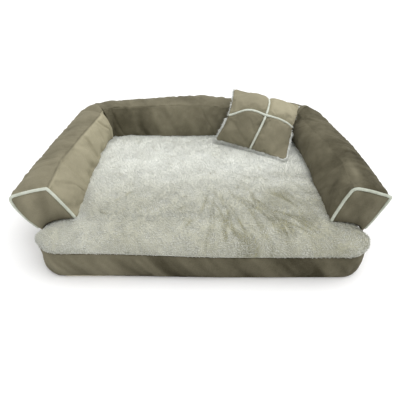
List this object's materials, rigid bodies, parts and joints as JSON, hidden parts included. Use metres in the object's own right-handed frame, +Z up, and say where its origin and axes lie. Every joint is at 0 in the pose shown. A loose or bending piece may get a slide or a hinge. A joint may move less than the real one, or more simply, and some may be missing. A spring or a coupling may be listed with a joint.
{
  "type": "pet cushion bed",
  "caption": "Sofa-style pet bed: plush boxed seat cushion with padded arms and back on its sides, piped arm ends and a loose quilted toss pillow in the back corner.",
  "frame": {"origin": "on the floor, under the middle of the whole bed", "axes": "+X across the bed's width, -Y towards its open front, +Z up"},
  "size_m": [0.906, 0.6174, 0.2691],
  "materials": {
    "taupe_suede": "brushed suede with a soft nap",
    "cream_plush": "short cut plush pile",
    "cream_piping": "smooth covered cord",
    "grip_canvas": "woven canvas with grip dots",
    "cushion_foam": "open-cell foam",
    "fibre_filling": "loose white fibre",
    "zip_tape": "woven twill tape",
    "zip_coil": "moulded nylon coil",
    "zip_metal": "nickel-plated die casting",
    "label_satin": "satin ribbon, blank"
  },
  "bodies": {
    "bed": {"gusset_front_band": "taupe_suede", "gusset_back_lower_strip": "taupe_suede", "gusset_back_upper_strip": "taupe_suede", "left_arm_inner_panel": "taupe_suede", "left_arm_top_panel": "taupe_suede", "left_arm_outer_panel": "taupe_suede", "left_arm_under_panel": "taupe_suede", "right_arm_inner_panel": "taupe_suede", "right_arm_top_panel": "taupe_suede", "right_arm_outer_panel": "taupe_suede", "right_arm_under_panel": "taupe_suede", "back_inner_panel": "taupe_suede", "back_top_panel": "taupe_suede", "back_outer_panel": "taupe_suede", "back_under_panel": "taupe_suede", "left_arm_end_panel": "taupe_suede", "right_arm_end_panel": "taupe_suede", "seat_plush_panel": "cream_plush", "left_arm_piping": "cream_piping", "right_arm_piping": "cream_piping", "nonskid_bottom_panel": "grip_canvas", "foam_core": "cushion_foam", "seat_batting": "fibre_filling", "left_arm_filling": "fibre_filling", "right_arm_filling": "fibre_filling", "back_filling": "fibre_filling", "zip_tape_lower": "zip_tape", "zip_tape_upper": "zip_tape", "zip_coil_lower": "zip_coil", "zip_coil_upper": "zip_coil", "zip_stop_left": "zip_metal", "zip_stop_right": "zip_metal", "care_label": "label_satin"},
    "zip_slider_body": {"zip_slider": "zip_metal"},
    "zip_tab_body": {"zip_pull_tab": "zip_metal"},
    "toss_pillow": {"pillow_face_lower_left": "taupe_suede", "pillow_face_lower_right": "taupe_suede", "pillow_face_upper_left": "taupe_suede", "pillow_face_upper_right": "taupe_suede", "pillow_plush_back": "cream_plush", "pillow_piping_across": "cream_piping", "pillow_piping_lower": "cream_piping", "pillow_piping_upper": "cream_piping", "pillow_filling": "fibre_filling"}
  },
  "joints": [
    {"name": "zip_travel", "type": "slide", "parent": "bed", "child": "zip_slider_body", "axis": [-1, 0, 0], "range_m": [0, 0.39]},
    {"name": "tab_hinge", "type": "hinge", "parent": "zip_slider_body", "child": "zip_tab_body", "pos_m": [0.195, 0.2879, 0.037], "axis": [0, 0, -1], "range_deg": [0, 180]},
    {"name": "pillow_lift", "type": "slide", "parent": "bed", "child": "toss_pillow", "axis": [0, 0, 1], "range_m": [0, 0.25]}
  ]
}
